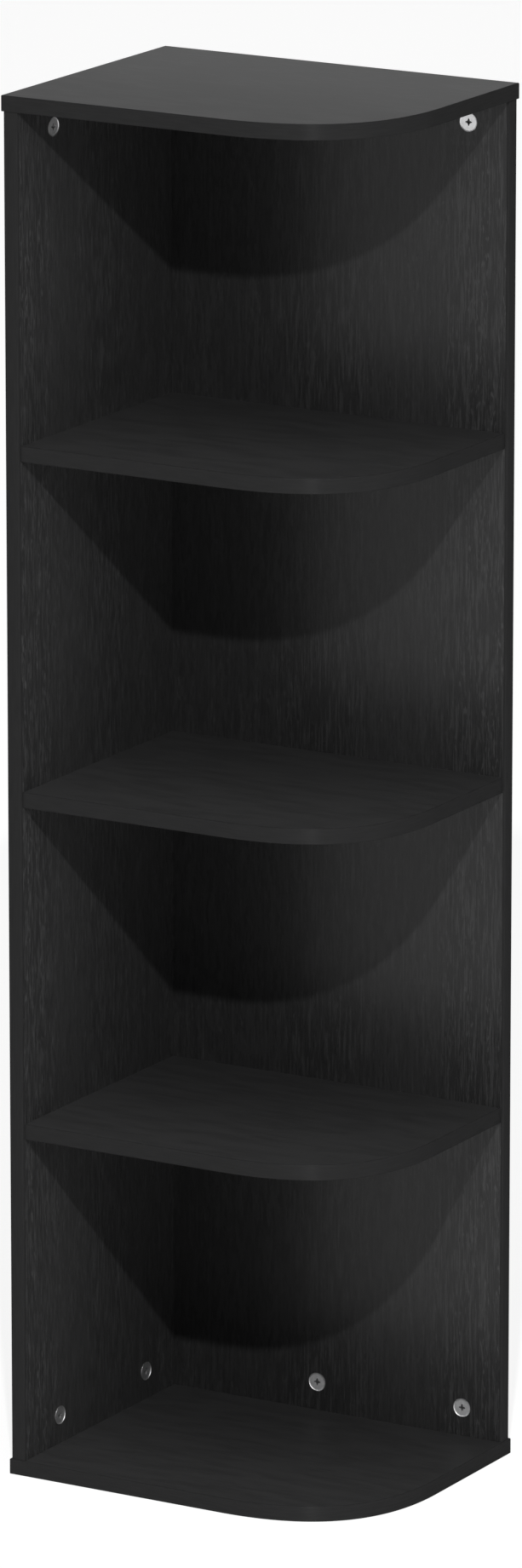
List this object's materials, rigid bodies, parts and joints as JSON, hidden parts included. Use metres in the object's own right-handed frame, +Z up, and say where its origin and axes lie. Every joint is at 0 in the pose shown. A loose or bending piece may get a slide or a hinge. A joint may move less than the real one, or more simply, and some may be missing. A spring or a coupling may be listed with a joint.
{
  "type": "corner shelf unit",
  "caption": "Tall narrow corner shelf unit: two panels at right angles carry open shelves with one rounded front corner, joined by cam locks and screws.",
  "frame": {"origin": "centre of the bounding box's underside, on the floor under the bottom board", "axes": "+X to the right along the back panel, +Y from the open front to the back panel, +Z up; the side panel stands on the -X side and the rounded corner is at +X, -Y"},
  "size_m": [0.305, 0.236, 1.065],
  "materials": {
    "laminate": "near-black printed woodgrain laminate on particleboard, satin, fine grain",
    "edge_band": "near-black plastic edge band, satin",
    "cam_zinc": "die-cast zinc, satin",
    "fastener_steel": "zinc-plated steel",
    "dowel_wood": "plain beech"
  },
  "bodies": {
    "carcass": {"bottom_board": "laminate", "lower_shelf": "laminate", "middle_shelf": "laminate", "upper_shelf": "laminate", "top_board": "laminate", "side_panel": "laminate", "back_panel": "laminate", "bottom_board_edge_band": "edge_band", "lower_shelf_edge_band": "edge_band", "middle_shelf_edge_band": "edge_band", "upper_shelf_edge_band": "edge_band", "top_board_edge_band": "edge_band", "side_panel_edge_band": "edge_band", "back_panel_edge_band": "edge_band", "side_panel_lower_front_cam_bolt": "fastener_steel", "side_panel_lower_rear_cam_bolt": "fastener_steel", "side_panel_upper_front_cam_bolt": "fastener_steel", "side_panel_upper_rear_cam_bolt": "fastener_steel", "back_panel_lower_left_cam_bolt": "fastener_steel", "back_panel_lower_right_cam_bolt": "fastener_steel", "back_panel_upper_left_cam_bolt": "fastener_steel", "back_panel_upper_right_cam_bolt": "fastener_steel", "side_panel_lower_dowel": "dowel_wood", "side_panel_upper_dowel": "dowel_wood", "back_panel_lower_dowel": "dowel_wood", "back_panel_upper_dowel": "dowel_wood", "lower_shelf_side_front_screw": "fastener_steel", "lower_shelf_side_rear_screw": "fastener_steel", "lower_shelf_back_left_screw": "fastener_steel", "lower_shelf_back_right_screw": "fastener_steel", "middle_shelf_side_front_screw": "fastener_steel", "middle_shelf_side_rear_screw": "fastener_steel", "middle_shelf_back_left_screw": "fastener_steel", "middle_shelf_back_right_screw": "fastener_steel", "upper_shelf_side_front_screw": "fastener_steel", "upper_shelf_side_rear_screw": "fastener_steel", "upper_shelf_back_left_screw": "fastener_steel", "upper_shelf_back_right_screw": "fastener_steel", "corner_screw_1": "fastener_steel", "corner_screw_2": "fastener_steel", "corner_screw_3": "fastener_steel", "corner_screw_4": "fastener_steel"},
    "side_lower_front_lock": {"side_panel_lower_front_cam": "cam_zinc"},
    "side_lower_rear_lock": {"side_panel_lower_rear_cam": "cam_zinc"},
    "side_upper_front_lock": {"side_panel_upper_front_cam": "cam_zinc"},
    "side_upper_rear_lock": {"side_panel_upper_rear_cam": "cam_zinc"},
    "back_lower_left_lock": {"back_panel_lower_left_cam": "cam_zinc"},
    "back_lower_right_lock": {"back_panel_lower_right_cam": "cam_zinc"},
    "back_upper_left_lock": {"back_panel_upper_left_cam": "cam_zinc"},
    "back_upper_right_lock": {"back_panel_upper_right_cam": "cam_zinc"}
  },
  "joints": [
    {"name": "side_lower_front_turn", "type": "hinge", "parent": "carcass", "child": "side_lower_front_lock", "pos_m": [-0.1395, -0.0658, 0.0345], "axis": [1, 0, 0], "range_deg": [0, 180]},
    {"name": "side_lower_rear_turn", "type": "hinge", "parent": "carcass", "child": "side_lower_rear_lock", "pos_m": [-0.1395, 0.0622, 0.0345], "axis": [1, 0, 0], "range_deg": [0, 180]},
    {"name": "side_upper_front_turn", "type": "hinge", "parent": "carcass", "child": "side_upper_front_lock", "pos_m": [-0.1395, -0.0658, 1.0343], "axis": [1, 0, 0], "range_deg": [0, 180]},
    {"name": "side_upper_rear_turn", "type": "hinge", "parent": "carcass", "child": "side_upper_rear_lock", "pos_m": [-0.1395, 0.0622, 1.0343], "axis": [1, 0, 0], "range_deg": [0, 180]},
    {"name": "back_lower_left_turn", "type": "hinge", "parent": "carcass", "child": "back_lower_left_lock", "pos_m": [-0.011, 0.105, 0.0345], "axis": [0, -1, 0], "range_deg": [0, 180]},
    {"name": "back_lower_right_turn", "type": "hinge", "parent": "carcass", "child": "back_lower_right_lock", "pos_m": [0.117, 0.105, 0.0345], "axis": [0, -1, 0], "range_deg": [0, 180]},
    {"name": "back_upper_left_turn", "type": "hinge", "parent": "carcass", "child": "back_upper_left_lock", "pos_m": [-0.011, 0.105, 1.0343], "axis": [0, -1, 0], "range_deg": [0, 180]},
    {"name": "back_upper_right_turn", "type": "hinge", "parent": "carcass", "child": "back_upper_right_lock", "pos_m": [0.117, 0.105, 1.0343], "axis": [0, -1, 0], "range_deg": [0, 180]}
  ]
}
